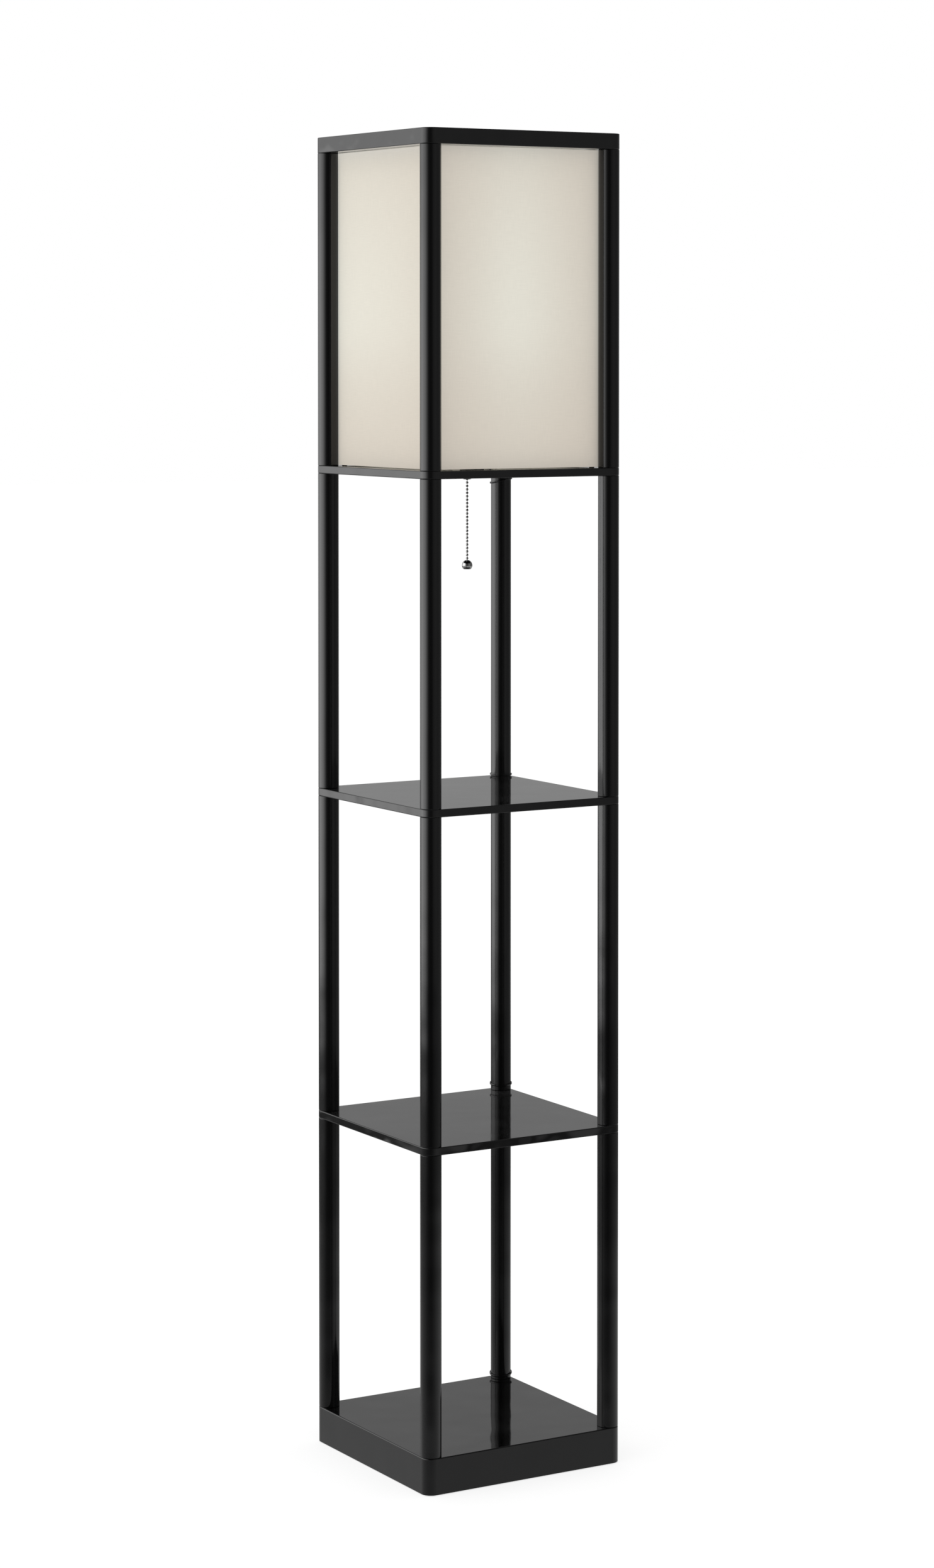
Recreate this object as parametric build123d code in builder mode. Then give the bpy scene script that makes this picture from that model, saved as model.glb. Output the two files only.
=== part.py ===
"""A shelf floor lamp: four round posts carry a weighted base, three shelves and a top frame.

The lowest two shelves are open. The third carries the lampholder, the pull switch and a
fabric shade, which stands between the posts under the top frame.

Frame: millimetres, +Z up, origin on the floor at the centre of the base. The wide face of
the photograph looks along -Y and the narrow one along -X, so its near post is front_left.
"""

import os
from math import cos, radians, sin

from build123d import *

os.makedirs("parts", exist_ok=True)

# ---------------------------------------------------------------- driving dimensions
# Whole lamp
plan_width = 270.0  # side of the base, of every shelf and of the top frame

# Posts: round tubes, tangent to the sides, so every corner has the posts' radius
post_diameter = 25.0
post_wall = 0.8
post_end_round = 0.6

# Clear heights between the levels, which are the lengths of the tubes
bottom_bay = 354.0
middle_bay = 384.0
upper_bay = 382.0
shade_bay = 377.0

# Base
base_height = 44.0
base_wall = 1.5
base_top_thickness = 2.0
base_edge_round = 1.2
foot_pad_thickness = 1.0
foot_pad_diameter = 24.0
foot_pad_inset = 40.0  # from the side of the base to the middle of a pad
base_cover_thickness = 2.5
weight_thickness = 9.0
weight_inset = 29.0  # from the side of the base to the side of the weight
weight_leg_diameter = 18.0
boss_height = 6.0
boss_diameter = 14.0
boss_pitch = 140.0

# Shelves and top frame
shelf_thickness = 9.4
shelf_edge_round = 1.0
frame_height = 18.8
frame_rail_width = 25.0
frame_edge_round = 1.0
frame_inner_radius = 3.0

# Screws and threads
post_thread = 8.0  # diameter of the studs, bolts and screws that join the posts
nut_length = 15.0
nut_recess = 0.5
stud_reach = 12.0  # how far a stud goes into the tube above or below its shelf
bolt_flange_diameter = 17.0
bolt_flange_thickness = 1.5
bolt_head_flats = 13.0
bolt_head_height = 5.0
frame_screw_head = 16.0
frame_screw_length = 30.0
frame_screw_slot_length = 8.0
frame_screw_slot_width = 2.0
frame_screw_slot_depth = 2.0
weight_screw = 6.0
weight_screw_head = 10.0
weight_screw_head_height = 5.5
cover_screw = 4.0
cover_screw_head = 8.0
cover_screw_length = 12.0
bracket_screw = 3.5
bracket_screw_head = 8.0
bracket_screw_head_height = 2.6
bracket_screw_reach = 7.0

# Shade
shade_inset = 20.5  # from the side of the lamp to the fabric
shade_corner_radius = 3.5
fabric_thickness = 0.6
liner_thickness = 0.5
liner_stands_proud = 0.4
shade_top_gap = 0.7
shade_wire = 3.0
shade_wire_corner = 6.0
rest_block_height = 0.9
rest_block_side = 4.5
rest_block_inset = 6.5  # from the shade's side to the middle of a block

# Lampholder bracket, a strap bent to an upside-down U
bracket_height = 73.0
bracket_thickness = 2.0
bracket_width = 22.0
bracket_span = 58.0  # outside width over the legs
bracket_foot = 16.0
bracket_bend = 2.5

# Lampholder
nipple_diameter = 10.0
nipple_bore = 7.0
nipple_length = 22.0
nipple_below_strap = 6.0
locknut_flats = 14.0
locknut_thickness = 3.0
cap_height = 20.0
cap_wall = 1.6
cap_neck_diameter = 18.0
cap_neck_height = 5.0
cap_rim_height = 5.0
holder_diameter = 38.0
holder_wall = 3.0
holder_height = 44.0
holder_rim_round = 1.0
core_thickness = 11.0
core_step = 3.5  # how deep the screw shell stands in the core
screw_shell_bore = 27.0
screw_shell_wall = 0.5
screw_shell_height = 24.0
contact_width = 8.0
contact_thickness = 0.8
contact_rise = 2.0
contact_reach = 9.0  # from the middle of the lampholder to the strip's fastened end
contact_bend = 4.5  # from the middle to where the strip starts to rise

# Bulb
bulb_base_diameter = 26.2
bulb_base_height = 23.0
bulb_tip_diameter = 9.0
bulb_tip_height = 2.2
bulb_heel_diameter = 15.0
bulb_heel_height = 3.0
bulb_diameter = 60.0
bulb_collar_diameter = 30.0
bulb_housing_height = 40.0
bulb_housing_wall = 1.5
bulb_collar_height = 8.0
bulb_housing_floor = 10.0  # thickness of the housing's closed foot
bulb_globe_wall = 1.2
bulb_globe_height = 42.0

# Pull switch
drum_groove_radius = 6.0
drum_flange_radius = 9.0
drum_flange_thickness = 1.0
drum_groove_width = 4.4
drum_pin_diameter = 3.0
drum_spring_width = 2.0
drum_spring_thickness = 0.4
drum_spring_pitch = 1.2
drum_spring_turns = 5
contact_strip_width = 3.0
contact_strip_thickness = 0.5
contact_strip_length = 20.0
contact_tab_height = 5.0  # how far a strip stands out of the top of the switch
switch_wall = 2.0
switch_room = 1.0  # air round the drum
switch_neck_diameter = 10.0
switch_neck_bore = 5.2
switch_neck_below_shelf = 4.0

# Chain and its bell
bead_diameter = 3.2
bead_pitch = 4.14
bead_link_diameter = 0.9
beads_in_switch = 7
beads_hanging = 22
bell_height = 6.0
bell_flange_diameter = 16.0
bell_flange_thickness = 1.6
bell_mouth_diameter = 9.0
bell_lip = 0.6
bell_neck_wall = 1.2
bell_waist_depth = 3.2  # from the shelf down to the bell's waist
bell_to_first_bead = 3.9  # from the bell's mouth to the middle of the first bead below it
ball_diameter = 12.8
ball_flat_below_centre = 4.6
ball_hole_diameter = 3.6
ball_hole_depth = 4.0

# Cord bushing in the shade shelf, and the ties that hold the cord behind the back post
bushing_inset = 40.0  # from both sides of the lamp to the middle of the bushing
bushing_bore = 6.6
bushing_body_diameter = 10.0
bushing_flange_diameter = 15.0
bushing_flange_thickness = 1.6
tied_cord_diameter = 6.0
tie_thickness = 1.1
tie_width = 2.4
tie_head = 4.0
base_tie_rise = 6.0  # from the level below a tie up to the tie
lower_tie_rise = 7.8
upper_tie_rise = 2.4
shade_tie_drop = 13.1  # from the shade shelf down to the tie

# Clearances
free_fit = 0.3  # a bolt in its hole, a cover in its skirt, a moving piece by its neighbour
close_fit = 0.05  # a thread, a pressed insert, a pin or a laminate, on the radius or side

# ---------------------------------------------------------------- levels and places
half_side = plan_width / 2
post_radius = post_diameter / 2
corner_radius = post_radius
post_offset = half_side - post_radius
post_pitch = 2 * post_offset

lower_shelf_bottom = base_height + bottom_bay
lower_shelf_top = lower_shelf_bottom + shelf_thickness
upper_shelf_bottom = lower_shelf_top + middle_bay
upper_shelf_top = upper_shelf_bottom + shelf_thickness
shade_shelf_bottom = upper_shelf_top + upper_bay
shade_shelf_top = shade_shelf_bottom + shelf_thickness
frame_bottom = shade_shelf_top + shade_bay
frame_top = frame_bottom + frame_height

shelf_bottoms = [lower_shelf_bottom, upper_shelf_bottom, shade_shelf_bottom]
bays = {
    "bottom": (base_height, bottom_bay),
    "middle": (lower_shelf_top, middle_bay),
    "upper": (upper_shelf_top, upper_bay),
    "shade": (shade_shelf_top, shade_bay),
}
corners = {
    "front_left": (-post_offset, -post_offset),
    "front_right": (post_offset, -post_offset),
    "back_left": (-post_offset, post_offset),
    "back_right": (post_offset, post_offset),
}
thread_radius = post_thread / 2
bolt_hole_radius = thread_radius + free_fit

pieces = {}


def rounded_square(height, side, radius):
    """A sketch of a square with round corners, at a height above the floor."""
    with BuildSketch(Plane.XY.offset(height)) as outline:
        RectangleRounded(side, side, radius)
    return outline.sketch


# ---------------------------------------------------------------- base
tray_bottom = foot_pad_thickness
tray_ceiling = base_height - base_top_thickness
weight_top = tray_ceiling - boss_height
weight_bottom = weight_top - weight_thickness
cover_top = foot_pad_thickness + base_cover_thickness
pad_pitch = 2 * (half_side - foot_pad_inset)

with BuildPart() as base_tray:
    add(rounded_square(tray_bottom, plan_width, corner_radius))
    extrude(amount=base_height - tray_bottom)
    fillet(base_tray.faces().sort_by(Axis.Z)[-1].edges(), base_edge_round)
    add(rounded_square(tray_bottom, plan_width - 2 * base_wall, corner_radius - base_wall))
    extrude(amount=tray_ceiling - tray_bottom, mode=Mode.SUBTRACT)
    # bosses under the top, which the weight is screwed up to
    with BuildSketch(Plane.XY.offset(weight_top)):
        with GridLocations(boss_pitch, boss_pitch, 2, 2):
            Circle(boss_diameter / 2)
            Circle(weight_screw / 2 + close_fit, mode=Mode.SUBTRACT)
    extrude(amount=boss_height)
    with BuildSketch(Plane.XY.offset(tray_ceiling)):
        with GridLocations(post_pitch, post_pitch, 2, 2):
            Circle(bolt_hole_radius)
    extrude(amount=base_top_thickness, mode=Mode.SUBTRACT)
pieces["base_tray"] = base_tray

with BuildPart() as base_weight:
    with BuildSketch(Plane.XY.offset(weight_bottom)):
        Rectangle(plan_width - 2 * weight_inset, plan_width - 2 * weight_inset)
    extrude(amount=weight_thickness)
    chamfer(base_weight.edges().filter_by(Axis.Z), corner_radius)
    with BuildSketch(Plane.XY.offset(cover_top)):
        with GridLocations(pad_pitch, pad_pitch, 2, 2):
            Circle(weight_leg_diameter / 2)
    extrude(amount=weight_bottom - cover_top)
    with BuildSketch(Plane.XY.offset(cover_top)):
        with GridLocations(pad_pitch, pad_pitch, 2, 2):
            Circle(cover_screw / 2 + close_fit)
    extrude(amount=cover_screw_length, mode=Mode.SUBTRACT)
    with BuildSketch(Plane.XY.offset(weight_bottom)):
        with GridLocations(boss_pitch, boss_pitch, 2, 2):
            Circle(weight_screw / 2 + free_fit)
    extrude(amount=weight_thickness, mode=Mode.SUBTRACT)
    with BuildSketch(Plane.XY.offset(weight_bottom)):
        with GridLocations(boss_pitch, boss_pitch, 2, 2):
            Circle(weight_screw_head / 2 + free_fit)
    extrude(amount=weight_screw_head_height, mode=Mode.SUBTRACT)
pieces["base_weight"] = base_weight

with BuildPart() as weight_screws:
    with BuildSketch(Plane.XY.offset(weight_bottom)):
        with GridLocations(boss_pitch, boss_pitch, 2, 2):
            Circle(weight_screw_head / 2)
    extrude(amount=weight_screw_head_height)
    with BuildSketch(Plane.XY.offset(weight_bottom + weight_screw_head_height)):
        with GridLocations(boss_pitch, boss_pitch, 2, 2):
            Circle(weight_screw / 2)
    extrude(amount=weight_thickness - weight_screw_head_height + boss_height - free_fit)
pieces["weight_screws"] = weight_screws

cover_side = plan_width - 2 * base_wall - 2 * free_fit
cover_sink = (cover_screw_head - cover_screw) / 2
with BuildPart() as base_cover:
    add(rounded_square(foot_pad_thickness, cover_side, corner_radius - base_wall - free_fit))
    extrude(amount=base_cover_thickness)
    with GridLocations(pad_pitch, pad_pitch, 2, 2):
        with Locations(Location((0, 0, foot_pad_thickness), (180, 0, 0))):
            CounterSinkHole(
                radius=cover_screw / 2 + close_fit,
                counter_sink_radius=cover_screw_head / 2 + close_fit,
                depth=base_cover_thickness,
                counter_sink_angle=90,
            )
pieces["base_cover"] = base_cover

with BuildPart() as cover_screws:
    with GridLocations(pad_pitch, pad_pitch, 2, 2):
        with Locations((0, 0, foot_pad_thickness)):
            Cone(
                cover_screw_head / 2,
                cover_screw / 2,
                cover_sink,
                align=(Align.CENTER, Align.CENTER, Align.MIN),
            )
        with Locations((0, 0, foot_pad_thickness + cover_sink)):
            Cylinder(
                cover_screw / 2,
                cover_screw_length - cover_sink,
                align=(Align.CENTER, Align.CENTER, Align.MIN),
            )
pieces["cover_screws"] = cover_screws

with BuildPart() as foot_pads:
    with BuildSketch():
        with GridLocations(pad_pitch, pad_pitch, 2, 2):
            Circle(foot_pad_diameter / 2)
    extrude(amount=foot_pad_thickness)
pieces["foot_pads"] = foot_pads

with BuildPart() as base_bolts:
    with BuildSketch(Plane.XY.offset(tray_ceiling)):
        with GridLocations(post_pitch, post_pitch, 2, 2):
            Circle(bolt_flange_diameter / 2)
    extrude(amount=-bolt_flange_thickness)
    with BuildSketch(Plane.XY.offset(tray_ceiling - bolt_flange_thickness)):
        with GridLocations(post_pitch, post_pitch, 2, 2):
            RegularPolygon(bolt_head_flats / 2, 6, major_radius=False)
    extrude(amount=-bolt_head_height)
    with BuildSketch(Plane.XY.offset(tray_ceiling)):
        with GridLocations(post_pitch, post_pitch, 2, 2):
            Circle(thread_radius)
    extrude(amount=base_top_thickness + stud_reach)
pieces["base_bolts"] = base_bolts

# ---------------------------------------------------------------- posts
for bay_name, (bay_bottom, bay_height) in bays.items():
    for corner_name, (corner_x, corner_y) in corners.items():
        tube_end = Plane(origin=(corner_x, corner_y, bay_bottom))
        with BuildPart() as post:
            with BuildSketch(tube_end):
                Circle(post_radius)
            extrude(amount=bay_height)
            fillet(post.edges().filter_by(GeomType.CIRCLE), post_end_round)
            with BuildSketch(tube_end):
                Circle(post_radius - post_wall)
            extrude(amount=bay_height, mode=Mode.SUBTRACT)
        pieces[f"post_{bay_name}_{corner_name}"] = post

with BuildPart() as tube_nuts:
    for bay_bottom, bay_height in bays.values():
        for nut_bottom in (
            bay_bottom + nut_recess,
            bay_bottom + bay_height - nut_recess - nut_length,
        ):
            with BuildSketch(Plane.XY.offset(nut_bottom)):
                with GridLocations(post_pitch, post_pitch, 2, 2):
                    Circle(post_radius - post_wall - close_fit)
                    Circle(thread_radius + close_fit, mode=Mode.SUBTRACT)
            extrude(amount=nut_length)
pieces["tube_nuts"] = tube_nuts

with BuildPart() as shelf_studs:
    for shelf_bottom in shelf_bottoms:
        with BuildSketch(Plane.XY.offset(shelf_bottom - stud_reach)):
            with GridLocations(post_pitch, post_pitch, 2, 2):
                Circle(thread_radius)
        extrude(amount=shelf_thickness + 2 * stud_reach)
pieces["shelf_studs"] = shelf_studs

# ---------------------------------------------------------------- shelves and top frame


def shelf_plate(shelf_bottom):
    """A shelf with round corners and edges, and a stud hole at each post."""
    with BuildPart() as plate:
        add(rounded_square(shelf_bottom, plan_width, corner_radius))
        extrude(amount=shelf_thickness)
        rims = plate.faces().sort_by(Axis.Z)[0].edges() + plate.faces().sort_by(Axis.Z)[-1].edges()
        fillet(rims, shelf_edge_round)
        with BuildSketch(Plane.XY.offset(shelf_bottom)):
            with GridLocations(post_pitch, post_pitch, 2, 2):
                Circle(bolt_hole_radius)
        extrude(amount=shelf_thickness, mode=Mode.SUBTRACT)
    return plate


pieces["lower_shelf"] = shelf_plate(lower_shelf_bottom)
pieces["upper_shelf"] = shelf_plate(upper_shelf_bottom)

bushing_offset = half_side - bushing_inset
bracket_screw_pitch = bracket_span + bracket_foot
with BuildPart() as shade_shelf:
    add(shelf_plate(shade_shelf_bottom).part)
    # holes for the switch neck and the cord bushing
    with BuildSketch(Plane.XY.offset(shade_shelf_bottom)):
        Circle(switch_neck_diameter / 2 + free_fit)
        with Locations((bushing_offset, bushing_offset)):
            Circle(bushing_body_diameter / 2 + close_fit)
    extrude(amount=shelf_thickness, mode=Mode.SUBTRACT)
    # blind holes for the bracket screws
    with BuildSketch(Plane.XY.offset(shade_shelf_top)):
        with GridLocations(bracket_screw_pitch, 0, 2, 1):
            Circle(bracket_screw / 2 + close_fit)
    extrude(amount=-bracket_screw_reach, mode=Mode.SUBTRACT)
pieces["shade_shelf"] = shade_shelf

frame_opening = plan_width - 2 * frame_rail_width
frame_sink = (frame_screw_head - post_thread) / 2
with BuildPart() as top_frame:
    add(rounded_square(frame_bottom, plan_width, corner_radius))
    extrude(amount=frame_height)
    outer_rims = (
        top_frame.faces().sort_by(Axis.Z)[0].edges() + top_frame.faces().sort_by(Axis.Z)[-1].edges()
    )
    fillet(outer_rims, frame_edge_round)
    add(rounded_square(frame_bottom, frame_opening, frame_inner_radius))
    extrude(amount=frame_height, mode=Mode.SUBTRACT)
    with GridLocations(post_pitch, post_pitch, 2, 2):
        with Locations((0, 0, frame_top)):
            CounterSinkHole(
                radius=bolt_hole_radius,
                counter_sink_radius=frame_screw_head / 2 + free_fit,
                depth=frame_height,
                counter_sink_angle=90,
            )
pieces["top_frame"] = top_frame

with BuildPart() as frame_screws:
    with GridLocations(post_pitch, post_pitch, 2, 2):
        with Locations((0, 0, frame_top)):
            Cone(
                thread_radius,
                frame_screw_head / 2,
                frame_sink,
                align=(Align.CENTER, Align.CENTER, Align.MAX),
            )
        with Locations((0, 0, frame_top - frame_sink)):
            Cylinder(
                thread_radius,
                frame_screw_length - frame_sink,
                align=(Align.CENTER, Align.CENTER, Align.MAX),
            )
    # a cross slot in each head
    with BuildSketch(Plane.XY.offset(frame_top)):
        with GridLocations(post_pitch, post_pitch, 2, 2):
            Rectangle(frame_screw_slot_length, frame_screw_slot_width)
            Rectangle(frame_screw_slot_width, frame_screw_slot_length)
    extrude(amount=-frame_screw_slot_depth, mode=Mode.SUBTRACT)
pieces["frame_screws"] = frame_screws

# ---------------------------------------------------------------- shade
shade_side = plan_width - 2 * shade_inset
shade_bottom = shade_shelf_top + rest_block_height
shade_top = frame_bottom - shade_top_gap
liner_side = shade_side - 2 * fabric_thickness - 2 * close_fit
liner_top = shade_top + liner_stands_proud
wire_side = liner_side - 2 * liner_thickness - shade_wire - 2 * close_fit


def square_sleeve(bottom, top, side, radius, wall):
    """Four thin walls round a square, open at the top and the bottom."""
    with BuildPart() as sleeve:
        add(rounded_square(bottom, side, radius))
        extrude(amount=top - bottom)
        add(rounded_square(bottom, side - 2 * wall, radius - wall))
        extrude(amount=top - bottom, mode=Mode.SUBTRACT)
    return sleeve


fabric_inner_radius = shade_corner_radius - fabric_thickness
pieces["shade_fabric"] = square_sleeve(
    shade_bottom, shade_top, shade_side, shade_corner_radius, fabric_thickness
)
pieces["shade_liner"] = square_sleeve(
    shade_bottom, liner_top, liner_side, fabric_inner_radius - close_fit, liner_thickness
)

with BuildPart() as shade_wires:
    for wire_height in (shade_bottom + shade_wire / 2, shade_top - shade_wire / 2):
        wire_path = rounded_square(wire_height, wire_side, shade_wire_corner).faces()[0]
        with BuildSketch(Plane(origin=(wire_side / 2, 0, wire_height), z_dir=(0, 1, 0))):
            Circle(shade_wire / 2)
        sweep(path=wire_path.outer_wire())
pieces["shade_wires"] = shade_wires

rest_block_pitch = shade_side - 2 * rest_block_inset
with BuildPart() as shade_rest_blocks:
    with BuildSketch(Plane.XY.offset(shade_shelf_top)):
        with GridLocations(rest_block_pitch, rest_block_pitch, 2, 2):
            Rectangle(rest_block_side, rest_block_side)
    extrude(amount=rest_block_height)
pieces["shade_rest_blocks"] = shade_rest_blocks

# ---------------------------------------------------------------- lampholder
strap_top = shade_shelf_top + bracket_height
strap_underside = strap_top - bracket_thickness
foot_top = shade_shelf_top + bracket_thickness
leg_middle = (bracket_span - bracket_thickness) / 2
foot_end = bracket_span / 2 + bracket_foot
foot_middle = shade_shelf_top + bracket_thickness / 2
strap_middle = strap_top - bracket_thickness / 2

with BuildPart() as lamp_bracket:
    with BuildSketch(Plane.XZ):
        with BuildLine():
            FilletPolyline(
                (-foot_end, foot_middle),
                (-leg_middle, foot_middle),
                (-leg_middle, strap_middle),
                (leg_middle, strap_middle),
                (leg_middle, foot_middle),
                (foot_end, foot_middle),
                radius=bracket_bend,
            )
        trace(line_width=bracket_thickness)
    extrude(amount=bracket_width / 2, both=True)
    with BuildSketch(Plane.XY.offset(strap_underside)):
        Circle(nipple_diameter / 2 + free_fit)
    extrude(amount=bracket_thickness, mode=Mode.SUBTRACT)
    with BuildSketch(Plane.XY.offset(shade_shelf_top)):
        with GridLocations(bracket_screw_pitch, 0, 2, 1):
            Circle(bracket_screw / 2 + free_fit)
    extrude(amount=bracket_thickness, mode=Mode.SUBTRACT)
pieces["lamp_bracket"] = lamp_bracket

with BuildPart() as bracket_screws:
    with GridLocations(bracket_screw_pitch, 0, 2, 1):
        with Locations((0, 0, foot_top)):
            Cylinder(
                bracket_screw_head / 2,
                bracket_screw_head_height,
                align=(Align.CENTER, Align.CENTER, Align.MIN),
            )
            Cylinder(
                bracket_screw / 2,
                bracket_thickness + bracket_screw_reach - free_fit,
                align=(Align.CENTER, Align.CENTER, Align.MAX),
            )
    fillet(bracket_screws.faces().sort_by(Axis.Z)[-2:].edges(), bracket_screw_head_height / 2)
pieces["bracket_screws"] = bracket_screws

nipple_bottom = strap_underside - nipple_below_strap
with BuildPart() as threaded_nipple:
    with BuildSketch(Plane.XY.offset(nipple_bottom)):
        Circle(nipple_diameter / 2)
        Circle(nipple_bore / 2, mode=Mode.SUBTRACT)
    extrude(amount=nipple_length)
pieces["threaded_nipple"] = threaded_nipple

with BuildPart() as nipple_locknut:
    with BuildSketch(Plane.XY.offset(strap_underside - locknut_thickness)):
        RegularPolygon(locknut_flats / 2, 6, major_radius=False)
        Circle(nipple_diameter / 2 + close_fit, mode=Mode.SUBTRACT)
    extrude(amount=locknut_thickness)
pieces["nipple_locknut"] = nipple_locknut

# The cap stands on the strap; the holder's shell stands in a step round the cap's rim.
cap_bottom = strap_top
cap_top = cap_bottom + cap_height
cap_neck_top = cap_bottom + cap_neck_height
holder_radius = holder_diameter / 2
holder_bore_radius = holder_radius - holder_wall
shell_bottom = cap_top
core_bottom = cap_top
core_top = core_bottom + core_thickness

with BuildPart() as socket_cap:
    with BuildSketch(Plane.XZ):
        with BuildLine():
            Polyline(
                (nipple_diameter / 2 + close_fit, cap_bottom),
                (cap_neck_diameter / 2, cap_bottom),
                (cap_neck_diameter / 2, cap_neck_top),
                (holder_radius, cap_top - cap_rim_height),
                (holder_radius, cap_top),
                (holder_radius - cap_wall, cap_top),
                (holder_radius - cap_wall, cap_top - cap_rim_height),
                (cap_neck_diameter / 2 - cap_wall, cap_neck_top + cap_wall),
                (nipple_diameter / 2 + close_fit, cap_neck_top + cap_wall),
                close=True,
            )
        make_face()
    revolve(axis=Axis.Z)
pieces["socket_cap"] = socket_cap

with BuildPart() as socket_core:
    with BuildSketch(Plane.XY.offset(core_bottom)):
        Circle(holder_bore_radius - close_fit)
    extrude(amount=core_thickness)
    # a step round the rim, where the screw shell stands
    with BuildSketch(Plane.XY.offset(core_top)):
        Circle(holder_bore_radius - close_fit)
        Circle(screw_shell_bore / 2 - close_fit, mode=Mode.SUBTRACT)
    extrude(amount=-core_step, mode=Mode.SUBTRACT)
pieces["socket_core"] = socket_core

with BuildPart() as socket_shell:
    with BuildSketch(Plane.XY.offset(shell_bottom)):
        Circle(holder_radius)
        Circle(holder_bore_radius, mode=Mode.SUBTRACT)
    extrude(amount=holder_height)
    fillet(socket_shell.edges().group_by(Axis.Z)[-1], holder_rim_round)
pieces["socket_shell"] = socket_shell

screw_shell_bottom = core_top - core_step
with BuildPart() as socket_screw_shell:
    with BuildSketch(Plane.XY.offset(screw_shell_bottom)):
        Circle(screw_shell_bore / 2 + screw_shell_wall)
        Circle(screw_shell_bore / 2, mode=Mode.SUBTRACT)
    extrude(amount=screw_shell_height)
pieces["socket_screw_shell"] = socket_screw_shell

contact_top = core_top + contact_rise
with BuildPart() as socket_contact:
    with BuildSketch(Plane.XZ):
        with BuildLine():
            Polyline(
                (-contact_reach, core_top),
                (-contact_bend, core_top),
                (0, contact_top - contact_thickness),
                (contact_bend, contact_top - contact_thickness),
                (contact_bend, contact_top),
                (0, contact_top),
                (-contact_bend, core_top + contact_thickness),
                (-contact_reach, core_top + contact_thickness),
                close=True,
            )
        make_face()
    extrude(amount=contact_width / 2, both=True)
pieces["socket_contact"] = socket_contact

# ---------------------------------------------------------------- bulb
tip_bottom = contact_top + free_fit
tip_top = tip_bottom + bulb_tip_height
base_bottom = tip_top + free_fit
base_shoulder = base_bottom + bulb_heel_height
base_top = base_bottom + bulb_base_height
housing_top = base_top + bulb_housing_height
globe_radius = bulb_diameter / 2

with BuildPart() as bulb_tip:
    with BuildSketch(Plane.XY.offset(tip_bottom)):
        Circle(bulb_tip_diameter / 2)
    extrude(amount=bulb_tip_height)
    fillet(bulb_tip.faces().sort_by(Axis.Z)[0].edges(), bulb_tip_height / 2)
pieces["bulb_tip"] = bulb_tip

with BuildPart() as bulb_base:
    with BuildSketch(Plane.XZ):
        with BuildLine():
            Polyline(
                (0, base_bottom),
                (bulb_heel_diameter / 2, base_bottom),
                (bulb_base_diameter / 2, base_shoulder),
                (bulb_base_diameter / 2, base_top),
                (0, base_top),
                close=True,
            )
        make_face()
    revolve(axis=Axis.Z)
pieces["bulb_base"] = bulb_base

with BuildPart() as bulb_housing:
    with BuildSketch(Plane.XZ):
        with BuildLine():
            Polyline(
                (0, base_top),
                (bulb_collar_diameter / 2, base_top),
                (bulb_collar_diameter / 2, base_top + bulb_collar_height),
                (globe_radius, housing_top),
                (globe_radius - bulb_housing_wall, housing_top),
                (bulb_collar_diameter / 2 - bulb_housing_wall, base_top + bulb_housing_floor),
                (0, base_top + bulb_housing_floor),
                close=True,
            )
        make_face()
    revolve(axis=Axis.Z)
pieces["bulb_housing"] = bulb_housing

globe_straight = bulb_globe_height - globe_radius
with BuildPart() as bulb_globe:
    with BuildSketch(Plane.XZ):
        with BuildLine():
            Line((globe_radius - bulb_globe_wall, housing_top), (globe_radius, housing_top))
            Line((globe_radius, housing_top), (globe_radius, housing_top + globe_straight))
            CenterArc((0, housing_top + globe_straight), globe_radius, 0, 90)
            Line(
                (0, housing_top + bulb_globe_height),
                (0, housing_top + bulb_globe_height - bulb_globe_wall),
            )
            CenterArc(
                (0, housing_top + globe_straight), globe_radius - bulb_globe_wall, 0, 90
            )
            Line(
                (globe_radius - bulb_globe_wall, housing_top + globe_straight),
                (globe_radius - bulb_globe_wall, housing_top),
            )
        make_face()
    revolve(axis=Axis.Z)
pieces["bulb_globe"] = bulb_globe

# ---------------------------------------------------------------- pull switch
# The chain hangs on the lamp's centre line and leaves the drum at its -X side.
bead_radius = bead_diameter / 2
chain_lever = drum_groove_radius + bead_radius + free_fit
drum_half_width = drum_groove_width / 2 + drum_flange_thickness
room_bottom = shade_shelf_top + switch_wall
drum_height = room_bottom + switch_room + drum_flange_radius
room_top = drum_height + drum_flange_radius + switch_room
room_left = -bead_radius - 2 * switch_room
room_right = chain_lever + drum_flange_radius + switch_room
room_back = drum_half_width + drum_spring_width + 2 * free_fit
room_front = -drum_half_width - switch_room
case_back = room_back + switch_wall
neck_bottom = shade_shelf_bottom - switch_neck_below_shelf

drum_plane = Plane(origin=(chain_lever, 0, drum_height), z_dir=(0, 1, 0))
pin_end = switch_wall / 2
strip_inset = close_fit + contact_strip_thickness / 2
strip_places = [room_left + strip_inset, room_right - strip_inset]

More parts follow.
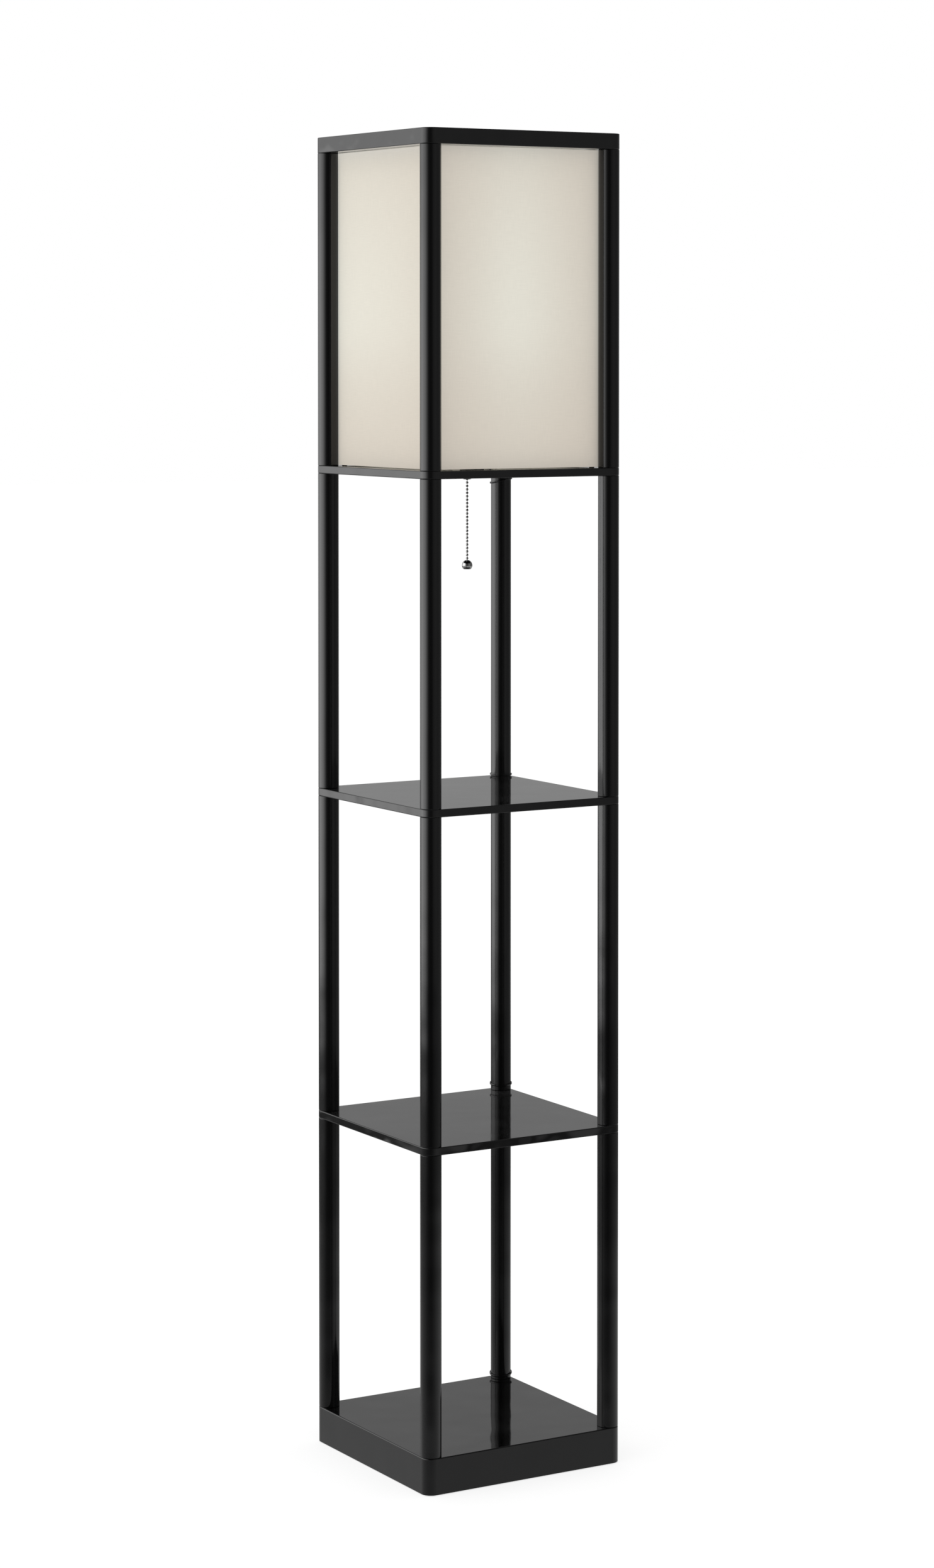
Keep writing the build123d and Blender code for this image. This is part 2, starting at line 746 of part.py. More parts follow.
with BuildPart() as switch_case:
    with BuildSketch(Plane.XZ.offset(-case_back)):
        with Locations(((room_left + room_right) / 2, (shade_shelf_top + room_top + switch_wall) / 2)):
            Rectangle(
                room_right - room_left + 2 * switch_wall,
                room_top + switch_wall - shade_shelf_top,
            )
    extrude(amount=case_back - room_front)
    fillet(switch_case.edges().filter_by(Axis.Y), switch_wall / 2)
    with BuildSketch(Plane.XZ.offset(-room_back)):
        with Locations(((room_left + room_right) / 2, (room_bottom + room_top) / 2)):
            Rectangle(room_right - room_left, room_top - room_bottom)
    extrude(amount=room_back - room_front, mode=Mode.SUBTRACT)
    with BuildSketch(Plane.XY.offset(neck_bottom)):
        Circle(switch_neck_diameter / 2)
    extrude(amount=shade_shelf_top - neck_bottom)
    with BuildSketch(Plane.XY.offset(neck_bottom)):
        Circle(switch_neck_bore / 2)
    extrude(amount=room_bottom - neck_bottom, mode=Mode.SUBTRACT)
    with BuildSketch(drum_plane.offset(room_back)):
        Circle(drum_pin_diameter / 2 + close_fit)
    extrude(amount=pin_end, mode=Mode.SUBTRACT)
    # slots in the top, which the contact strips come out of
    with BuildSketch(Plane.XY.offset(room_top)):
        with Locations(*[(strip_x, 0) for strip_x in strip_places]):
            Rectangle(
                contact_strip_thickness + 2 * close_fit,
                contact_strip_width + 2 * close_fit,
            )
    extrude(amount=switch_wall, mode=Mode.SUBTRACT)
pieces["switch_case"] = switch_case

with BuildPart() as switch_cover:
    with BuildSketch(Plane.XZ.offset(-room_front)):
        with Locations(((room_left + room_right) / 2, (shade_shelf_top + room_top + switch_wall) / 2)):
            Rectangle(
                room_right - room_left + 2 * switch_wall,
                room_top + switch_wall - shade_shelf_top,
            )
    extrude(amount=switch_wall)
    fillet(switch_cover.edges().filter_by(Axis.Y), switch_wall / 2)
    with BuildSketch(drum_plane.offset(room_front)):
        Circle(drum_pin_diameter / 2 + close_fit)
    extrude(amount=-pin_end, mode=Mode.SUBTRACT)
pieces["switch_cover"] = switch_cover

with BuildPart() as chain_drum:
    with BuildSketch(drum_plane.offset(-drum_half_width)):
        Circle(drum_flange_radius)
    extrude(amount=2 * drum_half_width)
    with BuildSketch(drum_plane.offset(-drum_groove_width / 2)):
        Circle(drum_flange_radius)
        Circle(drum_groove_radius, mode=Mode.SUBTRACT)
    extrude(amount=drum_groove_width, mode=Mode.SUBTRACT)
    with BuildSketch(drum_plane.offset(-drum_half_width)):
        Circle(drum_pin_diameter / 2 + close_fit)
        # a slot in both flanges, where the chain's end is hooked
        with Locations((drum_flange_radius, 0)):
            Rectangle(drum_flange_radius - drum_groove_radius, bead_diameter)
    extrude(amount=2 * drum_half_width, mode=Mode.SUBTRACT)
pieces["chain_drum"] = chain_drum

with BuildPart() as drum_pin:
    with BuildSketch(drum_plane.offset(room_front - pin_end)):
        Circle(drum_pin_diameter / 2)
    extrude(amount=room_back - room_front + 2 * pin_end)
pieces["drum_pin"] = drum_pin

# The return spring: a flat spiral of half turns, wound from the pin outwards.
spring_start = (drum_pin_diameter + drum_spring_thickness) / 2 + close_fit
with BuildPart() as drum_spring:
    with BuildSketch(drum_plane.offset(drum_half_width + free_fit)):
        with BuildLine():
            for half_turn in range(2 * drum_spring_turns):
                odd_turn = half_turn % 2
                CenterArc(
                    (odd_turn * drum_spring_pitch / 2, 0),
                    spring_start + half_turn * drum_spring_pitch / 2,
                    180 * odd_turn,
                    180,
                )
        trace(line_width=drum_spring_thickness)
    extrude(amount=drum_spring_width)
pieces["drum_spring"] = drum_spring

with BuildPart() as switch_contacts:
    with BuildSketch(Plane.XY.offset(room_top + switch_wall + contact_tab_height)):
        with Locations(*[(strip_x, 0) for strip_x in strip_places]):
            Rectangle(contact_strip_thickness, contact_strip_width)
    extrude(amount=-contact_strip_length)
pieces["switch_contacts"] = switch_contacts

bell_bottom = shade_shelf_bottom - bell_height
bell_waist = shade_shelf_bottom - bell_waist_depth
with BuildPart() as chain_bell:
    with BuildSketch(Plane.XZ):
        with BuildLine():
            Polyline(
                (switch_neck_diameter / 2 + close_fit, shade_shelf_bottom),
                (bell_flange_diameter / 2, shade_shelf_bottom),
                (bell_flange_diameter / 2, shade_shelf_bottom - bell_flange_thickness),
                (switch_neck_diameter / 2 + bell_neck_wall, bell_waist),
                (bell_mouth_diameter / 2, bell_bottom),
                (bell_mouth_diameter / 2 - bell_lip, bell_bottom),
                (switch_neck_bore / 2, neck_bottom - close_fit),
                (switch_neck_diameter / 2 + close_fit, neck_bottom - close_fit),
                close=True,
            )
        make_face()
    revolve(axis=Axis.Z)
pieces["chain_bell"] = chain_bell

# ---------------------------------------------------------------- chain
link_radius = bead_link_diameter / 2
pivot_height = bell_bottom - bell_to_first_bead  # the bead that the chain swings about
last_bead = pivot_height - beads_hanging * bead_pitch
joint_gap = bead_radius + free_fit


def bead_string(bead_heights, link_bottom, link_top):
    """Beads on the centre line, strung on one thin link from its bottom to its top."""
    with BuildPart() as beads:
        with Locations(*[(0, 0, height) for height in bead_heights]):
            Sphere(bead_radius)
        with Locations((0, 0, link_bottom)):
            Cylinder(
                link_radius,
                link_top - link_bottom,
                align=(Align.CENTER, Align.CENTER, Align.MIN),
            )
    return beads


heights_above = [pivot_height + count * bead_pitch for count in range(1, beads_in_switch + 1)]
heights_below = [pivot_height - count * bead_pitch for count in range(1, beads_hanging + 1)]
pieces["chain_head"] = bead_string(heights_above, pivot_height + joint_gap, heights_above[-1])
with BuildPart() as chain_link:
    with Locations((0, 0, pivot_height)):
        Sphere(bead_radius)
pieces["chain_link"] = chain_link

ball_radius = ball_diameter / 2
ball_centre = last_bead - bead_radius - free_fit - ball_radius
ball_bottom = ball_centre - ball_flat_below_centre
link_seat = bead_radius + bead_diameter
pieces["pull_chain"] = bead_string(
    heights_below, last_bead - link_seat + free_fit, pivot_height - joint_gap
)

with BuildPart() as chain_ball:
    with Locations((0, 0, ball_centre)):
        Sphere(ball_radius)
    split(bisect_by=Plane.XY.offset(ball_bottom), keep=Keep.TOP)
    with BuildSketch(Plane.XY.offset(ball_bottom)):
        Circle(ball_hole_diameter / 2)
    extrude(amount=ball_hole_depth, mode=Mode.SUBTRACT)
    with BuildSketch(Plane.XY.offset(last_bead - link_seat)):
        Circle(link_radius + close_fit)
    extrude(amount=link_seat, mode=Mode.SUBTRACT)
pieces["chain_ball"] = chain_ball

# ---------------------------------------------------------------- cord bushing and ties
bushing_height = shelf_thickness + 2 * bushing_flange_thickness
with BuildPart() as cord_bushing:
    with BuildSketch(
        Plane(origin=(bushing_offset, bushing_offset, shade_shelf_bottom - bushing_flange_thickness))
    ):
        Circle(bushing_body_diameter / 2)
    extrude(amount=bushing_height)
    for flange_bottom in (shade_shelf_bottom - bushing_flange_thickness, shade_shelf_top):
        with BuildSketch(Plane(origin=(bushing_offset, bushing_offset, flange_bottom))):
            Circle(bushing_flange_diameter / 2)
        extrude(amount=bushing_flange_thickness)
    with BuildSketch(
        Plane(origin=(bushing_offset, bushing_offset, shade_shelf_bottom - bushing_flange_thickness))
    ):
        Circle(bushing_bore / 2)
    extrude(amount=bushing_height, mode=Mode.SUBTRACT)
pieces["cord_bushing"] = cord_bushing

# Each tie is a band round the back post and round the cord's place on the post's outer side.
# Pulled tight by hand, they lean: (height on the post's axis, lean from level, heading of the
# lowest side, in degrees from +X).
ties = [
    (base_height + base_tie_rise, 8.0, 225.0),
    (lower_shelf_top + lower_tie_rise, 5.0, 235.0),
    (upper_shelf_top + upper_tie_rise, 3.0, 45.0),
    (shade_shelf_bottom - shade_tie_drop, 12.0, 149.0),
]


def tie_outline(extra, post_loop):
    """The hull of a circle round the post and a circle round the cord."""
    with BuildSketch(mode=Mode.PRIVATE) as outline:
        Circle(post_loop + extra)
        with Locations((post_loop + tied_cord_diameter / 2, 0)):
            Circle(tied_cord_diameter / 2 + extra)
        make_hull()
    return outline.sketch


with BuildPart() as cord_ties:
    for tie_height, tie_lean, tie_heading in ties:
        lean = radians(tie_lean)
        heading = radians(tie_heading)
        # a leaning band needs a longer loop to go round an upright post
        post_loop = (post_radius + tie_width / 2 * sin(lean)) / cos(lean) + close_fit
        level = Plane(
            origin=(post_offset, post_offset, tie_height),
            x_dir=(1, 1, 0),
            z_dir=(sin(lean) * cos(heading), sin(lean) * sin(heading), cos(lean)),
        )
        with BuildSketch(level.offset(-tie_width / 2)):
            add(tie_outline(tie_thickness, post_loop))
            with Locations((post_loop, tied_cord_diameter / 2 + tie_head)):
                Rectangle(tie_head, tie_head)
            add(tie_outline(0, post_loop), mode=Mode.SUBTRACT)
        extrude(amount=tie_width)
pieces["cord_ties"] = cord_ties

# ---------------------------------------------------------------- files
for name, piece in pieces.items():
    piece.part.label = name
    export_step(piece.part, f"parts/{name}.step")
    print(name, len(piece.part.solids()), round(piece.part.volume))
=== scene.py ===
"""The looks of a shelf floor lamp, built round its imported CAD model, in metres."""

import logging
import math
from dataclasses import dataclass
from enum import Enum
from typing import Any, Callable

import bpy
from bpy.types import (
    ColorRamp,
    Material,
    MeshEdge,
    MeshPolygon,
    NodeSocket,
    NodeTree,
    Object,
)
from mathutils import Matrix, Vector

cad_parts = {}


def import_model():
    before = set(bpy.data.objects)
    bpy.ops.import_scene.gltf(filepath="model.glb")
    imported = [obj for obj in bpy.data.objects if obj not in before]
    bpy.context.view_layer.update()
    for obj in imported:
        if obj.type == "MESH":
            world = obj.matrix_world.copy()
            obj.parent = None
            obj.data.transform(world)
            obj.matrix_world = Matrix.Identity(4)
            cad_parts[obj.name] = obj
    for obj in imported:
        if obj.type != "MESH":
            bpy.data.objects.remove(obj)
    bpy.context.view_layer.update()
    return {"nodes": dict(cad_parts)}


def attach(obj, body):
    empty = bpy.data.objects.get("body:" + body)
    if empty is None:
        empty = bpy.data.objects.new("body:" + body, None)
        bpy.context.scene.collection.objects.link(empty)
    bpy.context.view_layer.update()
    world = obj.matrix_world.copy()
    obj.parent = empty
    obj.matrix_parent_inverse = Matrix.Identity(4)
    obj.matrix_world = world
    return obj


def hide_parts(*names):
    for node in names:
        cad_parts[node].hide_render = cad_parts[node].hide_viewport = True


log = logging.getLogger("shelf_lamp")

Colour = tuple[float, float, float]
WHITE: Colour = (1.0, 1.0, 1.0)
BLACK: Colour = (0.0, 0.0, 0.0)
SHADE_TOP = 1.5685  # the height of the cloth's top edge
CAMERA_HEADING = 30.922  # the way it looks, in degrees from the Y axis to the right

# The sockets of a Mix node that mixes colours
MIX_SHARE, MIX_LOW, MIX_HIGH, MIXED_COLOUR = 0, 6, 7, 2


# ---------------------------------------------------------------- shader maths


class Wire:
    """One output of a node, with the sums that shader maths needs."""

    def __init__(self, board: "Board", socket: NodeSocket) -> None:
        """Wraps a socket.

        Args:
            board: The node tree that the socket belongs to.
            socket: The output.
        """
        self.board = board
        self.socket = socket

    def __add__(self, other: "Number") -> "Wire":
        """self + other."""
        return self.board.maths("ADD", self, other)

    def __radd__(self, other: float) -> "Wire":
        """other + self."""
        return self.board.maths("ADD", other, self)

    def __sub__(self, other: "Number") -> "Wire":
        """self - other."""
        return self.board.maths("SUBTRACT", self, other)

    def __rsub__(self, other: float) -> "Wire":
        """other - self."""
        return self.board.maths("SUBTRACT", other, self)

    def __mul__(self, other: "Number") -> "Wire":
        """self * other."""
        return self.board.maths("MULTIPLY", self, other)

    def __rmul__(self, other: float) -> "Wire":
        """other * self."""
        return self.board.maths("MULTIPLY", other, self)

    def __truediv__(self, other: "Number") -> "Wire":
        """self / other."""
        return self.board.maths("DIVIDE", self, other)

    def __rtruediv__(self, other: float) -> "Wire":
        """other / self."""
        return self.board.maths("DIVIDE", other, self)

    def __abs__(self) -> "Wire":
        """The size of self, without its sign."""
        return self.board.maths("ABSOLUTE", self)


Number = Wire | float


class Board:
    """A node tree, to which every node is added in the same way."""

    def __init__(self, tree: NodeTree) -> None:
        """Empties a node tree and keeps it.

        Args:
            tree: The tree of a material or a world.
        """
        self.tree = tree
        tree.nodes.clear()

    def add(
        self,
        kind: str,
        settings: dict[str, Any] | None = None,
        values: dict[str | int, Any] | None = None,
        output: str | int = 0,
    ) -> Wire:
        """Adds a node.

        Args:
            kind: The node's type.
            settings: Its own settings, set first. "stops" are a ramp's positions and greys.
            values: The values or wires of its inputs, by name or number.
            output: The output that is wanted.

        Returns:
            That output.
        """
        node = self.tree.nodes.new(kind)
        for name, value in (settings or {}).items():
            if name == "stops":
                self._set_stops(node.color_ramp, value)
            else:
                setattr(node, name, value)
        for key, value in (values or {}).items():
            if isinstance(value, Wire):
                self.tree.links.new(value.socket, node.inputs[key])
            else:
                node.inputs[key].default_value = value
        return Wire(self, node.outputs[output] if node.outputs else None)

    @staticmethod
    def _set_stops(ramp: ColorRamp, stops: list[tuple[float, float]]) -> None:
        """Gives a ramp its stops.

        Args:
            ramp: The ramp.
            stops: Each stop's position and grey, in order.
        """
        while len(ramp.elements) > 1:
            ramp.elements.remove(ramp.elements[-1])
        for number, (place, grey) in enumerate(stops):
            stop = ramp.elements.new(place) if number else ramp.elements[0]
            stop.position = place
            stop.color = (grey, grey, grey, 1)

    def maths(self, operation: str, *values: Number) -> Wire:
        """A Math node on numbers or wires.

        Args:
            operation: What it does.
            values: Its inputs.

        Returns:
            Its result.
        """
        return self.add(
            "ShaderNodeMath", {"operation": operation}, dict(enumerate(values))
        )

    def smooth(self, value: Wire, start: float, end: float) -> Wire:
        """A soft step of a value.

        Args:
            value: What is read.
            start: Where the step is 0.
            end: Where it is 1.

        Returns:
            0 to 1.
        """
        settings = {"interpolation_type": "SMOOTHSTEP"}
        values = {"Value": value, "From Min": start, "From Max": end}
        return self.add("ShaderNodeMapRange", settings, values)

    def place(self) -> Wire:
        """The point on the piece, in metres."""
        return self.add("ShaderNodeTexCoord", output="Object")

    def axes(self, vector: Wire) -> tuple[Wire, Wire, Wire]:
        """Splits a vector into its three numbers."""
        node = self.add("ShaderNodeSeparateXYZ", values={0: vector}).socket.node
        return tuple(Wire(self, socket) for socket in node.outputs)

    def vector(self, x: Number, y: Number, z: Number) -> Wire:
        """Joins three numbers into a vector."""
        return self.add("ShaderNodeCombineXYZ", values={0: x, 1: y, 2: z})

    def levelness(self) -> Wire:
        """1 on a level face, 0 on an upright one."""
        normal = self.add("ShaderNodeNewGeometry", output="True Normal")
        return abs(self.axes(normal)[2])

    def noise(self, vector: Wire, scale: float, detail: float = 2.0) -> Wire:
        """A noise between 0 and 1.

        Args:
            vector: Where it is read.
            scale: Its lumps in a metre.
            detail: How many finer layers it has.

        Returns:
            The noise.
        """
        values = {"Vector": vector, "Scale": scale, "Detail": detail}
        return self.add("ShaderNodeTexNoise", values=values)

    def blend(self, share: Number, low: Any, high: Any) -> Wire:
        """Mixes two colours.

        Args:
            share: 0 for the first, 1 for the second.
            low: The first colour.
            high: The second colour.

        Returns:
            The colour between them.
        """
        values = {MIX_SHARE: share, MIX_LOW: low, MIX_HIGH: high}
        return self.add("ShaderNodeMix", {"data_type": "RGBA"}, values, MIXED_COLOUR)

    def bump(self, height: Wire, depth: float) -> Wire:
        """A normal from a height between 0 and 1.

        Args:
            height: The height.
            depth: How deep it is, in metres.

        Returns:
            The normal.
        """
        return self.add("ShaderNodeBump", values={"Height": height, "Distance": depth})


@dataclass(frozen=True)
class Step:
    """A soft step.

    Attributes:
        start: The value at which it begins.
        end: The value at which it is full.
    """

    start: float
    end: float

    def over(self, board: Board, value: Wire) -> Wire:
        """0 before the step, 1 after it."""
        return board.smooth(value, self.start, self.end)


@dataclass(frozen=True)
class Spots:
    """Soft spots, where a noise is high.

    Attributes:
        scale: The noise's lumps in a metre.
        detail: How many finer layers it has.
        edge: The noise at which the spots begin, and at which they are full.
    """

    scale: float
    detail: float
    edge: Step

    def over(self, board: Board, place: Wire) -> Wire:
        """The spots at a point, from 0 to 1."""
        return self.edge.over(board, board.noise(place, self.scale, self.detail))


def rgba(colour: Colour) -> tuple[float, float, float, float]:
    """A colour with its alpha."""
    return (*colour, 1.0)


def grey(part: float) -> tuple[float, float, float, float]:
    """A grey with its alpha."""
    return rgba((part, part, part))


def toned(colour: Colour, share: float, haze: float = 0.0) -> Colour:
    """A colour times a share, with some grey added, up to white."""
    return tuple(min(1.0, part * share + haze) for part in colour)


# -------------------------------------------------------------------- finishes


@dataclass(frozen=True)
class Finish:
    """A finish, named after the slot that it belongs to.

    Attributes:
        name: The slot.
        colour: Its main colour.
        roughness: From 0, a mirror, to 1, matt.
    """

    name: str
    colour: Colour
    roughness: float

    def material(self) -> Material:
        """Makes the material.

        Returns:
            The material, with its nodes.
        """
        plain = bpy.data.materials.get(self.name)
        if plain:
            plain.name = f"{self.name}_plain"
        material = bpy.data.materials.new(self.name)
        material.use_nodes = True
        board = Board(material.node_tree)
        values = {
            "Base Color": rgba(self.colour),
            "Roughness": self.roughness,
            **self.values(board, board.place()),
        }
        shader = board.add("ShaderNodeBsdfPrincipled", values=values)
        board.add("ShaderNodeOutputMaterial", values={"Surface": shader})
        return material

    def values(self, board: Board, place: Wire) -> dict[str, Any]:
        """What this finish adds to the plain shader.

        Args:
            board: The node tree.
            place: The point on the piece.

        Returns:
            The shader's inputs.
        """
        return {}


# The spots on the finishes
SETTLED_DUST = Spots(16.0, 4.0, Step(0.35, 0.75))
SPECKS = Spots(2600.0, 1.0, Step(0.62, 0.8))
DULL_PATCHES = Spots(14.0, 4.0, Step(0.45, 0.75))
OLD_PATCHES = Spots(180.0, 4.0, Step(0.45, 0.8))
SAND_PITS = Spots(260.0, 2.0, Step(0.3, 0.42))
RUST_PATCHES = Spots(35.0, 5.0, Step(0.55, 0.75))


@dataclass(frozen=True)
class PowderCoat(Finish):
    """Baked paint with a very fine orange peel.

    Attributes:
        level: How rough it is on level faces, where it ran out smooth.
        peel: The peel's lumps in a metre.
        depth: Its depth in metres.
        wear: How much rougher the handled patches are.
        patches: The handled patches' lumps in a metre.
        wave: The long wave's lumps in a metre.
        swell: How many times deeper the long wave is than the peel.
        speckle: How much dust the specks show.
        paling: How many times paler than the paint the dust is.
        haze: The grey that the dust adds to that.
    """

    level: float = 0.2
    peel: float = 900.0
    depth: float = 0.000006
    wear: float = 0.05
    patches: float = 9.0
    wave: float = 16.0
    swell: float = 90.0
    speckle: float = 0.2
    paling: float = 1.5
    haze: float = 0.006

    def values(self, board: Board, place: Wire) -> dict[str, Any]:
        """Adds the peel, the long wave, dust, and patches of uneven gloss."""
        levelness = board.levelness()
        settled = SETTLED_DUST.over(board, place) * levelness
        specks = SPECKS.over(board, place)
        dust = toned(self.colour, self.paling, self.haze)
        handled = board.noise(place, self.patches, detail=3.0) - 0.5
        rough = self.roughness + self.wear * handled
        peel = board.noise(place, self.peel, detail=1.0)
        wave = board.noise(place, self.wave, detail=1.0)
        return {
            "Base Color": board.blend(
                settled + specks * self.speckle, rgba(self.colour), rgba(dust)
            ),
            "Roughness": rough + levelness * (self.level - rough),
            "Normal": board.bump(peel + self.swell * wave, self.depth),
        }


@dataclass(frozen=True)
class Lacquer(Finish):
    """Lacquer on fibreboard, level to the eye, with a long wave in its reflections.

    Attributes:
        wave: The wave's lumps in a metre.
        depth: Its depth in metres.
        edge: How much deeper it is on the sawn edges.
        grain: The board's fine grain, in lumps to the metre.
        relief: How deep the grain is beside the wave.
        tone: How much of the grain shows in the colour.
        dulling: How much rougher the dull patches are.
        paling: How many times paler than the lacquer its pale parts are.
        haze: The grey that is added to that.
    """

    wave: float = 22.0
    depth: float = 0.00012
    edge: float = 20.0
    grain: float = 420.0
    relief: float = 0.02
    tone: float = 0.1
    dulling: float = 0.05
    paling: float = 1.6
    haze: float = 0.01

    def values(self, board: Board, place: Wire) -> dict[str, Any]:
        """Adds the wave, the board's grain, dust and dull patches."""
        levelness = board.levelness()
        settled = SETTLED_DUST.over(board, place) * levelness
        grain = board.noise(place, self.grain)
        deeper = 1 + (self.edge - 1) * (1 - levelness)
        wave = board.noise(place, self.wave, detail=1.0) * deeper
        pale = toned(self.colour, self.paling, self.haze)
        return {
            "Base Color": board.blend(
                settled + grain * self.tone, rgba(self.colour), rgba(pale)
            ),
            "Roughness": self.roughness + self.dulling * DULL_PATCHES.over(board, place),
            "Normal": board.bump(wave + self.relief * grain, self.depth),
        }


@dataclass(frozen=True)
class Moulded(Finish):
    """Moulded plastic or rubber.

    Attributes:
        grain: The lumps of its surface in a metre.
        depth: Their depth in metres.
        glow: What it gives off by itself, as a share of its colour.
        flow: The lumps of its flow marks in a metre.
        tone: The colour of the flow marks, as a share of its own.
        dulling: How much its roughness varies with them.
    """

    grain: float = 1400.0
    depth: float = 0.00004
    glow: float = 0.0
    flow: float = 60.0
    tone: float = 0.82
    dulling: float = 0.08

    def values(self, board: Board, place: Wire) -> dict[str, Any]:
        """Adds the grain, and flow marks in the colour."""
        flow = board.noise(place, self.flow, detail=3.0)
        grain = board.noise(place, self.grain, detail=1.0)
        marks = toned(self.colour, self.tone)
        return {
            "Base Color": board.blend(flow, rgba(marks), rgba(self.colour)),
            "Roughness": self.roughness + self.dulling * (flow - 0.5),
            "Emission Color": rgba(self.colour),
            "Emission Strength": self.glow,
            "Normal": board.bump(grain, self.depth),
        }


class Working(Enum):
    """How a metal was worked, as its marks' lumps in a metre along X, Y and Z."""

    TURNED = (300.0, 300.0, 6000.0)
    PLATED = (2500.0, 2500.0, 2500.0)
    POLISHED = (120.0, 120.0, 120.0)


@dataclass(frozen=True)
class BareMetal(Finish):
    """Metal that shows as itself.

    Attributes:
        working: How it was worked.
        depth: How deep its marks are, in metres.
        tarnish: How dark its old patches are.
        dulling: How much rougher full tarnish is.
        marking: How much rougher the marks are.
    """

    working: Working = Working.PLATED
    depth: float = 0.00001
    tarnish: float = 0.15
    dulling: float = 0.12
    marking: float = 0.04

    def values(self, board: Board, place: Wire) -> dict[str, Any]:
        """Adds the marks of its working, and tarnish."""
        scaled = (
            part * lumps for part, lumps in zip(board.axes(place), self.working.value)
        )
        marks = board.noise(board.vector(*scaled), 1.0)
        old = OLD_PATCHES.over(board, place)
        dark = toned(self.colour, 1 - self.tarnish)
        dulled = self.dulling * old * self.tarnish + self.marking * marks
        return {
            "Metallic": 1.0,
            "Base Color": board.blend(old, rgba(self.colour), rgba(dark)),
            "Roughness": self.roughness + dulled,
            "Normal": board.bump(marks, self.depth),
        }


@dataclass(frozen=True)
class CastIron(Finish):
    """Iron as it came from the sand.

    Attributes:
        rust: The colour of its rust.
        cover: How much of the iron the rust hides.
        roughening: How much rougher rust is.
        metal: How much of the surface is bare metal.
        grain: The sand's lumps in a metre.
        relief: How deep the sand's marks are beside the pits.
        depth: The pits' depth in metres.
    """

    rust: Colour = (0.13, 0.055, 0.03)
    cover: float = 0.5
    roughening: float = 0.2
    metal: float = 0.6
    grain: float = 700.0
    relief: float = 0.5
    depth: float = 0.00025

    def values(self, board: Board, place: Wire) -> dict[str, Any]:
        """Adds the sand's grain, pits, and patches of rust."""
        sand = board.noise(place, self.grain, detail=5.0) * self.relief
        rust = RUST_PATCHES.over(board, place)
        return {
            "Metallic": self.metal,
            "Base Color": board.blend(
                rust * self.cover, rgba(self.colour), rgba(self.rust)
            ),
            "Roughness": self.roughness + self.roughening * rust,
            "Normal": board.bump(sand + SAND_PITS.over(board, place), self.depth),
        }


@dataclass(frozen=True)
class Glow:
    """How the light of the bulb fades over the shade, with some painted light added that
    lifts the cloth's shade.

    Attributes:
        bright: The light that comes through nearest the bulb.
        even: The light that comes through far from it. It is raised so that it also stands in
            for part of the room's light on the cloth: painted light that weakens the cloth's
            shade near the posts and the frame.
        height: The bulb's height.
        across: How fast it fades sideways over the front and the back, in metres.
        along: How fast it fades sideways over the two sides.
        behind: How far behind the middle it is brightest on the sides.
        up: How fast it fades above the bulb.
        down: How fast it fades below it.
        painted_top_fill: The share of painted_top_light at the top edge of the front and the
            back. This is painted light that brightens the cloth under the top frame, to lift
            the shade that the frame casts there.
        painted_side_fill: How much more of it the two sides get.
        top: The height of the cloth's top edge.
        rim: How far down the painted brightening under the top frame reaches.
        painted_top_light: The colour of that painted brightening.
    """

    bright: Colour
    even: Colour
    height: float = 1.372
    across: float = 0.077
    along: float = 0.228
    behind: float = 0.087
    up: float = 0.235
    down: float = 0.101
    painted_top_fill: float = 0.0
    painted_side_fill: float = 0.0
    top: float = SHADE_TOP
    rim: float = 0.022
    painted_top_light: Colour = (1.0, 0.96, 0.9)

    def light(self, board: Board, place: Wire) -> Wire:
        """The light at a point of the shade.

        Args:
            board: The node tree.
            place: The point.

        Returns:
            The colour that is given off.
        """
        x, y, z = board.axes(place)
        on_side = board.maths("GREATER_THAN", abs(x), abs(y))
        over_side = on_side * (y - self.behind) / self.along
        aside = over_side + (1 - on_side) * x / self.across
        above = board.maths("MAXIMUM", z - self.height, 0.0) / self.up
        below = board.maths("MAXIMUM", self.height - z, 0.0) / self.down
        faded = (1 + aside * aside) * (1 + above * above) * (1 + below * below)
        light = board.blend(1 / faded, rgba(self.even), rgba(self.bright))
        # Painted light: the cloth is brightened towards its top edge, more on the two sides,
        # to lift the shade that the top frame casts on it.
        near = board.maths("MAXIMUM", z - (self.top - self.rim), 0.0) / self.rim
        painted_top_fill = near * near * (self.painted_top_fill + on_side * self.painted_side_fill)
        return board.blend(painted_top_fill, light, rgba(self.painted_top_light))


OTHER_LAYER = 7.0  # where the level threads' noise is read, apart from the upright ones'


